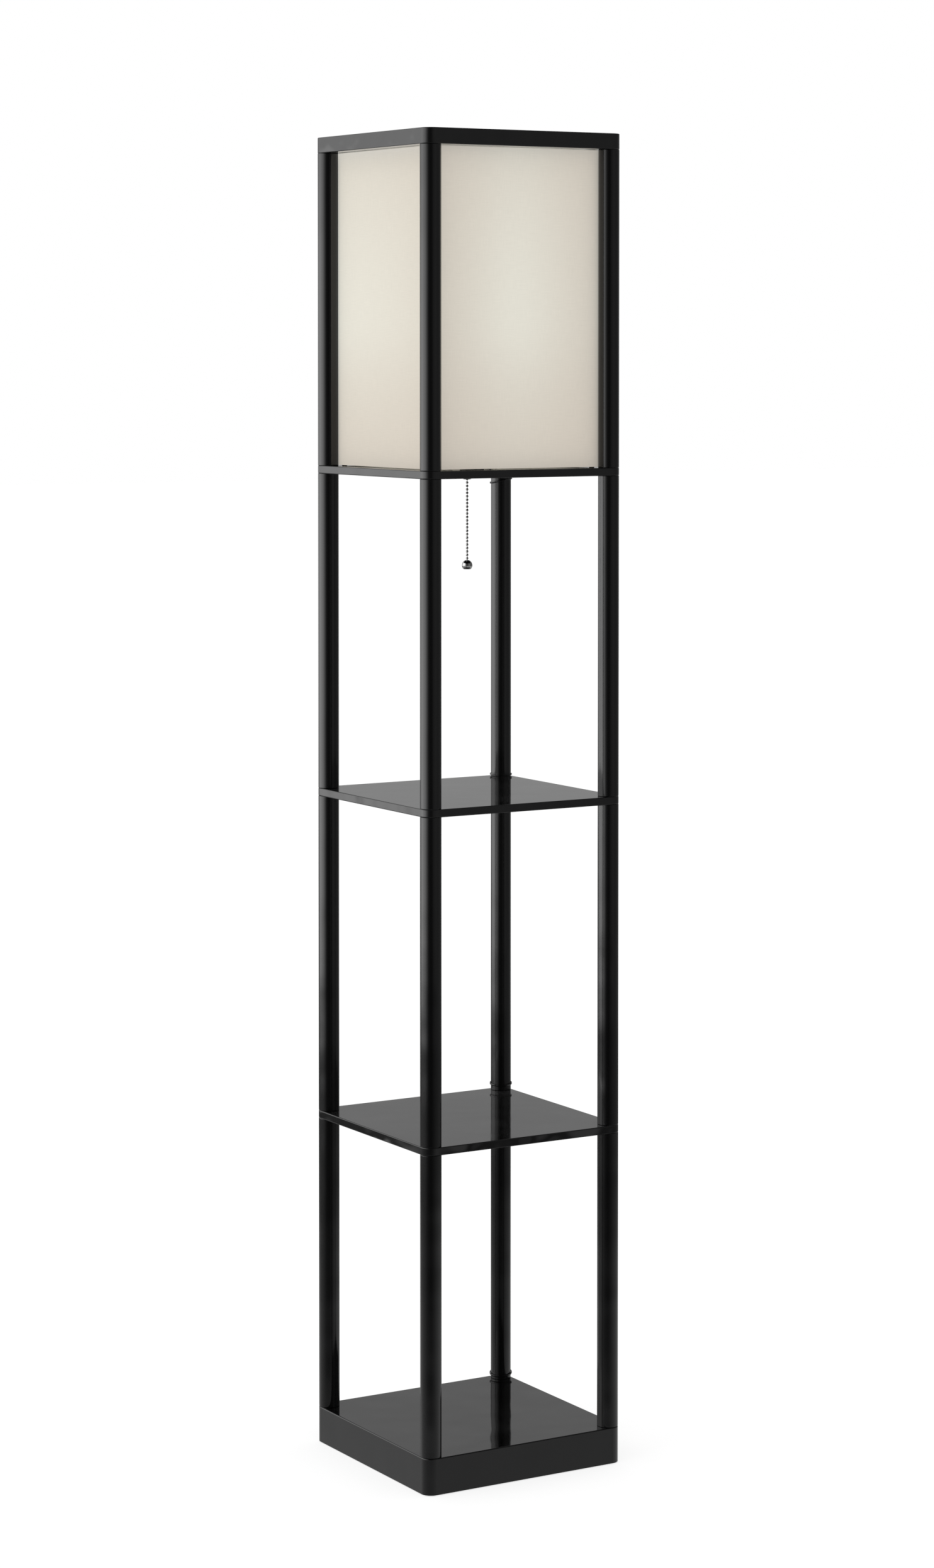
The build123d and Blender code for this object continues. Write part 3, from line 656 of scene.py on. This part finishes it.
@dataclass(frozen=True)
class Linen(Finish):
    """Plain woven cloth with thick and thin threads, lit from behind.

    Attributes:
        pitch: From one thread to the next, in metres.
        slub: How much the thick threads darken the cloth.
        glow: The light that comes through it, partly painted light that stands in for the
            room's light and lifts the cloth's shade.
        fine: The threads' lumps in a metre, across them.
        drawn: Their lumps in a metre, along them.
        thick: How high their two noises add up where a thread is thick.
        patches: The lumps in a metre of its lighter and darker patches.
        patchy: How much of the unevenness is patches, the rest being threads.
        shadow: How many times more the thick threads dim the light behind them.
        sheen: Its specular level.
        depth: The weave's depth in metres.
    """

    pitch: float = 0.0007
    slub: float = 0.02
    glow: Glow | None = None
    fine: float = 1500.0
    drawn: float = 60.0
    thick: Step = Step(0.7, 1.3)
    patches: float = 22.0
    patchy: float = 0.2
    shadow: float = 3.0
    sheen: float = 0.15
    depth: float = 0.00002

    def values(self, board: Board, place: Wire) -> dict[str, Any]:
        """Adds the weave, its thick threads and the light through it."""
        x, y, z = board.axes(place)
        along = x + y
        turns = 2 * math.pi / self.pitch
        warp = board.maths("SINE", along * turns)
        weft = board.maths("SINE", z * turns)
        weave = 0.5 + 0.25 * (warp + weft)  # from 0 to 1
        upright = board.vector(along * self.fine, z * self.drawn, 0.0)
        level = board.vector(along * self.drawn, z * self.fine, OTHER_LAYER)
        both = board.noise(upright, 1.0) + board.noise(level, 1.0)
        threads = self.thick.over(board, both)
        patches = board.noise(place, self.patches)
        thick = threads * (1 - self.patchy) + patches * self.patchy
        dark = toned(self.colour, 1 - 2 * self.slub)
        values = {
            "Base Color": board.blend(thick, rgba(self.colour), rgba(dark)),
            "Specular IOR Level": self.sheen,
            "Normal": board.bump(weave + threads, self.depth),
        }
        if self.glow:
            light = self.glow.light(board, place)
            shadow = thick * self.slub * self.shadow
            values["Emission Color"] = board.blend(shadow, light, rgba(BLACK))
            values["Emission Strength"] = 1.0
        return values


@dataclass(frozen=True)
class Film(Finish):
    """The white film that stiffens the cloth, lit by the bulb.

    Attributes:
        glow: The light on it.
        haze: The lumps of its haze in a metre.
        dulling: How much rougher the haze is.
        depth: Its depth in metres.
    """

    glow: Glow | None = None
    haze: float = 300.0
    dulling: float = 0.1
    depth: float = 0.00002

    def values(self, board: Board, place: Wire) -> dict[str, Any]:
        """Adds the light on it and a fine haze."""
        haze = board.noise(place, self.haze)
        values = {
            "Roughness": self.roughness + self.dulling * haze,
            "Normal": board.bump(haze, self.depth),
        }
        if self.glow:
            values["Emission Color"] = self.glow.light(board, place)
            values["Emission Strength"] = 1.0
        return values


# The glow through the cloth is partly painted light: its even part stands in for some of the
# room's light on the cloth, and its top part lifts the shade under the top frame.
THROUGH_CLOTH = Glow(
    (0.414, 0.435, 0.402), (0.276, 0.257, 0.232), painted_top_fill=0.05, painted_side_fill=0.17
)
ON_FILM = Glow((0.13, 0.125, 0.11), (0.045, 0.042, 0.037))

FINISHES: tuple[Finish, ...] = (
    PowderCoat("black_steel", (0.0015, 0.0015, 0.0016), 0.12, level=0.05),
    Lacquer("black_board", (0.002, 0.002, 0.0021), 0.04),
    PowderCoat("black_screws", (0.012, 0.012, 0.012), 0.35, depth=0.00004),
    Moulded("black_panel", (0.02, 0.02, 0.02), 0.6),
    Moulded("black_rubber", (0.02, 0.02, 0.02), 0.75, grain=900.0, depth=0.0001),
    Moulded("black_phenolic", (0.02, 0.019, 0.018), 0.35),
    Moulded("white_phenolic", (0.85, 0.84, 0.8), 0.25),
    Moulded("black_nylon", (0.002, 0.002, 0.002), 0.15, depth=0.00002),
    CastIron("cast_iron", (0.09, 0.09, 0.09), 0.6),
    BareMetal("zinc_steel", (0.62, 0.62, 0.6), 0.3, Working.PLATED),
    BareMetal("aluminium_shell", (0.8, 0.8, 0.8), 0.28, Working.TURNED),
    BareMetal("brass", (0.8, 0.62, 0.3), 0.25, Working.TURNED),
    BareMetal(
        "nickel_chain", (0.45, 0.45, 0.445), 0.05, Working.POLISHED, 0.000002, 0.05
    ),
    Linen("shade_linen", (0.502, 0.439, 0.362), 0.9, glow=THROUGH_CLOTH),
    Film("shade_liner", (0.8, 0.78, 0.72), 0.5, glow=ON_FILM),
    PowderCoat("white_wire", (0.85, 0.85, 0.82), 0.35),
    # white_plastic is given a weak glow of its own, which is painted light.
    Moulded("white_plastic", (0.9, 0.9, 0.88), 0.3, glow=0.3),
    Moulded("frosted_globe", (0.97, 0.94, 0.86), 0.45, glow=1.0),
)


# -------------------------------------------------------------- modelling tools

SHARPEST_SMOOTHED = 40  # in degrees, the sharpest edge that is smoothed
LEVEL = 0.9  # the rise of a face's normal, from 0 to 1, over which the face is level


def select_none() -> None:
    """Leaves edit mode and selects nothing."""
    if bpy.context.mode != "OBJECT":
        bpy.ops.object.mode_set(mode="OBJECT")
    bpy.ops.object.select_all(action="DESELECT")


def take_up(piece: Object) -> None:
    """Makes a piece the only one selected, and the active one."""
    select_none()
    piece.select_set(True)
    bpy.context.view_layer.objects.active = piece


def pick(
    piece: Object,
    faces: Callable[[MeshPolygon], bool] | None = None,
    edges: Callable[[MeshEdge, Vector, Vector], bool] | None = None,
) -> None:
    """Opens edit mode with some faces or edges selected.

    Args:
        piece: The piece.
        faces: Says whether a face is wanted.
        edges: Says whether an edge is wanted, from its two ends.
    """
    take_up(piece)
    bpy.context.tool_settings.mesh_select_mode = (False, not faces, bool(faces))
    mesh = piece.data
    for item in (*mesh.vertices, *mesh.edges, *mesh.polygons):
        item.select = False
    if faces:
        for face in mesh.polygons:
            face.select = faces(face)
    if edges:
        for edge in mesh.edges:
            ends = [mesh.vertices[number].co for number in edge.vertices]
            edge.select = edges(edge, *ends)
    bpy.ops.object.mode_set(mode="EDIT")


def add_modifier(piece: Object, kind: str, **settings: Any) -> None:
    """Adds a modifier and applies it.

    Args:
        piece: The piece.
        kind: The modifier's type.
        settings: What it is set to.
    """
    take_up(piece)
    modifier = piece.modifiers.new(kind.title(), kind)
    for name, value in settings.items():
        setattr(modifier, name, value)
    bpy.ops.object.modifier_apply(modifier=modifier.name)


def finish_piece(piece: Object, name: str, body: str, slot: str) -> None:
    """Names a piece, smooths it, and says what it rides on.

    Args:
        piece: The piece.
        name: Its name.
        body: The CAD body it moves with.
        slot: The slot of its finish.
    """
    take_up(piece)
    bpy.ops.object.transform_apply(location=True, rotation=True, scale=True)
    bpy.ops.object.shade_smooth_by_angle(angle=math.radians(SHARPEST_SMOOTHED))
    piece.name = piece.data.name = name
    piece.data.materials.clear()
    piece.data.materials.append(bpy.data.materials[slot])
    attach(piece, body)


# ------------------------------------------------------------------ the pieces


@dataclass
class ShadeCloth:
    """The cloth of the shade, drawn tight round a square frame and lapped near a back corner.

    Attributes:
        side: The square's side, outside the cloth.
        low: The height of its bottom edge.
        high: The height of its top edge.
        wall: How thick the cloth is.
        corner: The radius that it takes round the frame's corners.
        lap: How wide the glued lap is.
        lap_inset: From the corner's round to the lap.
        lap_trim: How much shorter than the cloth the lap is.
        lap_edge: The radius of the lap's edges.
        slack: How far the cloth stands off between its edges.
        ripple: How much the slack varies over a face.
        ripple_ways: How fast it varies upwards and sideways, in radians.
        cuts: How often a face is cut each way, to let it swell.
    """

    side: float = 0.229
    low: float = 1.1931
    high: float = SHADE_TOP
    wall: float = 0.0006
    corner: float = 0.0035
    lap: float = 0.010
    lap_inset: float = 0.004
    lap_trim: float = 0.0004
    lap_edge: float = 0.0003
    slack: float = 0.0004
    ripple: float = 0.25
    ripple_ways: tuple[float, float] = (9.0, 5.0)
    cuts: int = 23

    @property
    def tall(self) -> float:
        """How tall the cloth is."""
        return self.high - self.low

    @property
    def middle(self) -> float:
        """The height of its middle."""
        return (self.low + self.high) / 2

    def wrap(self) -> Object:
        """Makes the cloth from a box without ends.

        Returns:
            The cloth as a surface with no thickness.
        """
        select_none()
        bpy.ops.mesh.primitive_cube_add(size=1, location=(0, 0, self.middle))
        cloth = bpy.context.object
        bpy.ops.object.mode_set(mode="EDIT")
        bpy.ops.transform.resize(value=(self.side, self.side, self.tall))
        bpy.ops.object.mode_set(mode="OBJECT")
        pick(cloth, faces=lambda face: abs(face.normal.z) > LEVEL)
        bpy.ops.mesh.delete(type="ONLY_FACE")
        pick(cloth, edges=lambda edge, a, b: abs(a.z - b.z) > self.tall / 2)
        bpy.ops.mesh.bevel(offset=self.corner, segments=5, profile=0.5)
        bpy.ops.object.mode_set(mode="OBJECT")
        return cloth

    def loosen(self, cloth: Object) -> None:
        """Lets the cloth stand off a little between its edges.

        Args:
            cloth: The cloth.
        """
        half_face = self.side / 2 * self.tall
        pick(cloth, faces=lambda face: face.area > half_face)
        bpy.ops.mesh.subdivide(number_cuts=self.cuts)
        bpy.ops.object.mode_set(mode="OBJECT")
        half = self.side / 2
        upwards, sideways = self.ripple_ways
        for vertex in cloth.data.vertices:
            x, y, z = vertex.co
            aside = min(abs(x), abs(y)) / (half - self.corner)
            if aside >= 1:
                continue
            up = (z - self.low) / self.tall
            swell = (1 - aside**2) * math.sin(math.pi * up)
            phase = upwards * up + sideways * (x - y) / half
            ripple = 1 + self.ripple * math.sin(phase)
            out = Vector((x, 0, 0)) if abs(x) > abs(y) else Vector((0, y, 0))
            vertex.co += out.normalized() * self.slack * swell * ripple

    def lap_strip(self) -> Object:
        """Makes the lap, where the cloth's end is glued over its start.

        Returns:
            The lap as a thin strip on the back face.
        """
        select_none()
        half = self.side / 2
        centre = half - self.corner - self.lap_inset - self.lap / 2
        bpy.ops.mesh.primitive_cube_add(size=1, location=(centre, half, self.middle))
        strip = bpy.context.object
        bpy.ops.object.mode_set(mode="EDIT")
        size = (self.lap, 2 * self.wall, self.tall - self.lap_trim)
        bpy.ops.transform.resize(value=size)
        bpy.ops.mesh.bevel(offset=self.lap_edge, segments=2)
        bpy.ops.object.mode_set(mode="OBJECT")
        return strip

    def make(self) -> Object:
        """Makes the finished cloth.

        Returns:
            The cloth, which stands for the CAD cloth.
        """
        cloth = self.wrap()
        self.loosen(cloth)
        add_modifier(cloth, "SOLIDIFY", thickness=self.wall, offset=-1.0)
        strip = self.lap_strip()
        take_up(cloth)
        strip.select_set(True)
        bpy.ops.object.join()
        finish_piece(cloth, "shade_cloth", "lamp", "shade_linen")
        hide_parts("shade_fabric")
        return cloth


@dataclass
class CordTies:
    """The nylon ties that hold the lead to the posts, with their edges moulded round.

    Attributes:
        edge: The radius of their edges.
        weld: The distance at which the CAD mesh's doubled points are joined.
        flat: The largest angle between faces that count as one, in degrees.
        sharp: The smallest angle of an edge that is rounded, in degrees.
    """

    edge: float = 0.0004
    weld: float = 0.00001
    flat: float = 1.0
    sharp: float = 50.0

    def make(self, source: Object) -> Object:
        """Rounds a copy of the plain ties.

        Args:
            source: The CAD ties.

        Returns:
            The rounded ties, which stand for them.
        """
        select_none()
        ties = source.copy()
        ties.data = source.data.copy()
        for key in list(ties.keys()):
            del ties[key]
        ties.parent = None
        bpy.context.scene.collection.objects.link(ties)
        take_up(ties)
        bpy.ops.object.mode_set(mode="EDIT")
        bpy.ops.mesh.select_all(action="SELECT")
        bpy.ops.mesh.remove_doubles(threshold=self.weld)
        bpy.ops.mesh.dissolve_limited(angle_limit=math.radians(self.flat))
        bpy.ops.object.mode_set(mode="OBJECT")
        add_modifier(
            ties,
            "BEVEL",
            width=self.edge,
            segments=3,
            limit_method="ANGLE",
            angle_limit=math.radians(self.sharp),
            harden_normals=False,
        )
        finish_piece(ties, "moulded_ties", "lamp", "black_nylon")
        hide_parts("cord_ties")
        return ties


# -------------------------------------------------------------- studio, camera


PANEL_PEAK = 4.0  # the brightest that a stop can be


def panel(degrees: float, strength: float) -> tuple[float, float]:
    """One stop of what reflections show, at a turn round the lamp.

    Args:
        degrees: The turn, 0 towards the camera and 90 to its right.
        strength: How bright it is there.

    Returns:
        The ramp's stop.
    """
    return (0.5 + degrees / 360, strength / PANEL_PEAK)


PANELS_HIGH = [
    panel(-180, 0.43),
    panel(-150, 0.5),
    panel(-135, 1.0),
    panel(-120, 2.0),
    panel(-100, 3.3),
    panel(-78, 3.3),
    panel(-60, 2.7),
    panel(-46, 1.6),
    panel(-31, 0.5),
    panel(-18, 0.12),
    panel(0, 0.06),
    panel(12, 0.07),
    panel(30, 0.2),
    panel(55, 0.28),
    panel(75, 0.22),
    panel(105, 0.18),
    panel(140, 0.2),
    panel(160, 0.43),
    panel(180, 0.43),
]
PANELS_LOW = [
    panel(-180, 0.43),
    panel(-120, 0.6),
    panel(-95, 0.6),
    panel(-76, 0.5),
    panel(-57, 0.35),
    panel(-40, 0.18),
    panel(-15, 0.1),
    panel(5, 0.07),
    panel(30, 0.2),
    panel(60, 0.5),
    panel(80, 0.62),
    panel(97, 0.68),
    panel(130, 0.6),
    panel(180, 0.5),
]

# Where the reflections change. Heights are the rise of a direction, from -1 straight down
# to 1 straight up, and turns go once round from 0 to 1, with 0.5 towards the camera.
WALL_FOOT = Step(-0.187, -0.162)
GAP_TURN, GAP_HEIGHT = Step(0.175, 0.11), Step(-0.09, -0.15)
LEFT_START, LEFT_END = Step(0.04, 0.1), Step(0.45, 0.35)
ABOVE_EYE = Step(0.02, 0.05)
NEAR_FLOOR = Step(-0.275, -0.288)
FAR_FLOOR = Step(-0.205, -0.265)
STEEP = Step(0.45, 0.75)


@dataclass
class Studio:
    """The floor, the pale surroundings and the light.

    Attributes:
        surround: The even light from all round, before it is shaped.
        from_sides: How much of it comes from the sides.
        lost_overhead: How much less comes from above and below than from the sides.
        gap: How dark the gap is on the far left, under eye height.
        dimmed: How much darker the left wall is above eye height.
        near_floor: How bright the floor close by is in reflections.
        far_floor: How bright it stays at the wall's foot.
        dimmed_ends: How much darker the reflections are straight up and down.
        floor_size: The floor's side.
        floor_drop: How far it lies under the foot pads, so that it doesn't touch them.
        paper: The grey of the floor for the camera.
        paper_glow: What the floor gives off to the camera.
        bounce: The grey of the floor for all other light.
        key: The strength of the light from the left.
        key_way: Where it stands: behind the camera, to its right, and up.
        key_spread: How wide it is, in degrees.
        key_place: Where it hangs. Its rays come from afar, so this doesn't change them.
    """

    surround: float = 0.85
    from_sides: float = 1.25
    lost_overhead: float = 0.6
    gap: float = 0.8
    dimmed: float = 0.2
    near_floor: float = 0.13
    far_floor: float = 0.25
    dimmed_ends: float = 0.85
    floor_size: float = 60.0
    floor_drop: float = 0.0002
    paper: float = 0.35
    paper_glow: float = 0.77
    bounce: float = 0.7
    key: float = 0.5
    key_way: tuple[float, float, float] = (0.5, -0.87, 0.7)
    key_spread: float = 50.0
    key_place: tuple[float, float, float] = (-3.0, 0.0, 3.0)

    def ways(self) -> tuple[Vector, Vector]:
        """The directions to the right of the camera and back towards it."""
        turn = math.radians(CAMERA_HEADING)
        right = Vector((math.cos(turn), -math.sin(turn), 0))
        back = Vector((-math.sin(turn), -math.cos(turn), 0))
        return right, back

    def hang_surroundings(self) -> None:
        """Makes the world: white to the camera, a studio in reflections, and even light."""
        world = bpy.data.worlds.new("studio")
        bpy.context.scene.world = world
        world.use_nodes = True
        world.cycles.sampling_method = "NONE"
        board = Board(world.node_tree)
        way = board.add("ShaderNodeTexCoord", output="Generated")
        height = board.axes(way)[2]
        even = self.surround * (self.from_sides - self.lost_overhead * abs(height))
        plain = self._background(board, rgba(WHITE), even)
        white = self._background(board, rgba(WHITE), 1.0)
        path = board.add("ShaderNodeLightPath").socket.node
        camera, glossy, through = (
            Wire(board, path.outputs[name])
            for name in ("Is Camera Ray", "Is Glossy Ray", "Is Transmission Ray")
        )
        panels = self._panels(board, way)
        light = board.add("ShaderNodeMixShader", values={0: glossy, 1: plain, 2: panels})
        clear = board.maths("MAXIMUM", camera, through)
        light = board.add("ShaderNodeMixShader", values={0: clear, 1: light, 2: white})
        board.add("ShaderNodeOutputWorld", values={"Surface": light})

    def _panels(self, board: Board, way: Wire) -> Wire:
        """What the lamp's paint reflects: walls with dark gaps over a dark floor.

        Args:
            board: The world's node tree.
            way: The direction that is looked in.

        Returns:
            The background shader.
        """
        right, back = (self._along(board, way, side) for side in self.ways())
        turn = board.maths("ARCTAN2", right, back) / (2 * math.pi) + 0.5
        height = board.axes(way)[2]
        high = board.add("ShaderNodeValToRGB", {"stops": PANELS_HIGH}, {0: turn})
        low = board.add("ShaderNodeValToRGB", {"stops": PANELS_LOW}, {0: turn})
        gap = GAP_TURN.over(board, turn) * GAP_HEIGHT.over(board, height)
        left = LEFT_START.over(board, turn) * LEFT_END.over(board, turn)
        above = left * ABOVE_EYE.over(board, height)
        high = board.blend(gap * self.gap, high, rgba(BLACK))
        high = board.blend(above * self.dimmed, high, rgba(BLACK))
        wall = WALL_FOOT.over(board, height)
        near = self.near_floor * NEAR_FLOOR.over(board, height)
        seen = board.maths("MAXIMUM", board.blend(wall, low, high), near)
        floor = self.far_floor + (1 - self.far_floor) * FAR_FLOOR.over(board, height)
        fade = wall + (1 - wall) * floor
        ends = 1 - self.dimmed_ends * STEEP.over(board, abs(height))
        return self._background(board, seen, PANEL_PEAK * fade * ends)

    @staticmethod
    def _background(board: Board, colour: Any, strength: Number) -> Wire:
        """A background shader.

        Args:
            board: The world's node tree.
            colour: Its colour.
            strength: Its strength.

        Returns:
            The shader.
        """
        values = {"Color": colour, "Strength": strength}
        return board.add("ShaderNodeBackground", values=values)

    @staticmethod
    def _along(board: Board, way: Wire, side: Vector) -> Wire:
        """How far a direction goes to one side."""
        settings = {"operation": "DOT_PRODUCT"}
        return board.add("ShaderNodeVectorMath", settings, {0: way, 1: side}, "Value")

    def lay_floor(self) -> None:
        """Lays the white floor, which keeps the lamp's soft shadow."""
        select_none()
        bpy.ops.mesh.primitive_plane_add(
            size=self.floor_size, location=(0, 0, -self.floor_drop)
        )
        floor = bpy.context.object
        floor.name = floor.data.name = "floor"
        material = bpy.data.materials.new("floor_paper")
        material.use_nodes = True
        board = Board(material.node_tree)
        path = board.add("ShaderNodeLightPath").socket.node
        camera, glossy = (
            Wire(board, path.outputs[name]) for name in ("Is Camera Ray", "Is Glossy Ray")
        )
        paper = board.add("ShaderNodeBsdfDiffuse", values={"Color": grey(self.paper)})
        glow = board.add(
            "ShaderNodeEmission",
            values={"Color": rgba(WHITE), "Strength": self.paper_glow},
        )
        seen = board.add("ShaderNodeAddShader", values={0: paper, 1: glow})
        clear = board.add("ShaderNodeBsdfTransparent")
        plain = board.add("ShaderNodeBsdfDiffuse", values={"Color": grey(self.bounce)})
        other = board.add("ShaderNodeMixShader", values={0: glossy, 1: plain, 2: clear})
        surface = board.add(
            "ShaderNodeMixShader", values={0: camera, 1: other, 2: seen}
        )
        board.add("ShaderNodeOutputMaterial", values={"Surface": surface})
        floor.data.materials.append(material)

    def light_left(self) -> None:
        """Hangs the large soft light on the left, which reflections don't show."""
        select_none()
        bpy.ops.object.light_add(type="SUN", location=self.key_place)
        sun = bpy.context.object
        sun.name = "key_light"
        right, back = self.ways()
        behind, aside, up = self.key_way
        way = (back * behind + right * aside + Vector((0, 0, up))).normalized()
        sun.rotation_euler = way.to_track_quat("Z", "Y").to_euler()
        sun.data.energy = self.key
        sun.data.angle = math.radians(self.key_spread)
        sun.visible_glossy = False

    def make(self) -> None:
        """Makes all of the studio."""
        self.hang_surroundings()
        self.lay_floor()
        self.light_left()
        bpy.context.scene.view_settings.view_transform = "Standard"


@dataclass
class LampCamera:
    """The camera, nearly level, at the height of the shade.

    Attributes:
        place: Where it stands.
        tilt: How far it looks down, in degrees.
        lens: Its focal length in millimetres.
        sensor: The long side of its sensor in millimetres.
        rise: Its upward shift, as a share of that side.
        reach: How far it sees.
    """

    place: tuple[float, float, float] = (-2.3063, -3.8499, 1.3317)
    tilt: float = 1.841
    lens: float = 85.906
    sensor: float = 36.0
    rise: float = -0.2
    reach: float = 100.0

    def make(self) -> None:
        """Adds the camera and makes it the scene's."""
        select_none()
        bpy.ops.object.camera_add(
            location=self.place,
            rotation=(math.radians(90 - self.tilt), 0, -math.radians(CAMERA_HEADING)),
        )
        camera = bpy.context.object
        camera.name = "camera"
        camera.data.lens = self.lens
        camera.data.sensor_width = self.sensor
        camera.data.shift_y = self.rise
        camera.data.clip_end = self.reach
        bpy.context.scene.camera = camera


# ------------------------------------------------------------------------ main


def dress_nodes(frame: dict[str, Any]) -> None:
    """Gives every CAD node the material of its slot.

    Args:
        frame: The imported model.
    """
    made = {finish.name: finish.material() for finish in FINISHES}
    for name, node in frame["nodes"].items():
        for slot in node.material_slots:
            plain = slot.material.name
            slot.material = made[plain.removesuffix("_plain")]
            log.info("%s: %s", name, slot.material.name)


def main() -> None:
    """Builds the scene."""
    logging.basicConfig(level=logging.INFO, format="%(message)s")
    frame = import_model()
    LampCamera().make()
    Studio().make()
    dress_nodes(frame)
    for piece in (ShadeCloth().make(), CordTies().make(frame["nodes"]["cord_ties"])):
        log.info("%s: %d faces", piece.name, len(piece.data.polygons))


if __name__ == "__main__":
    main()
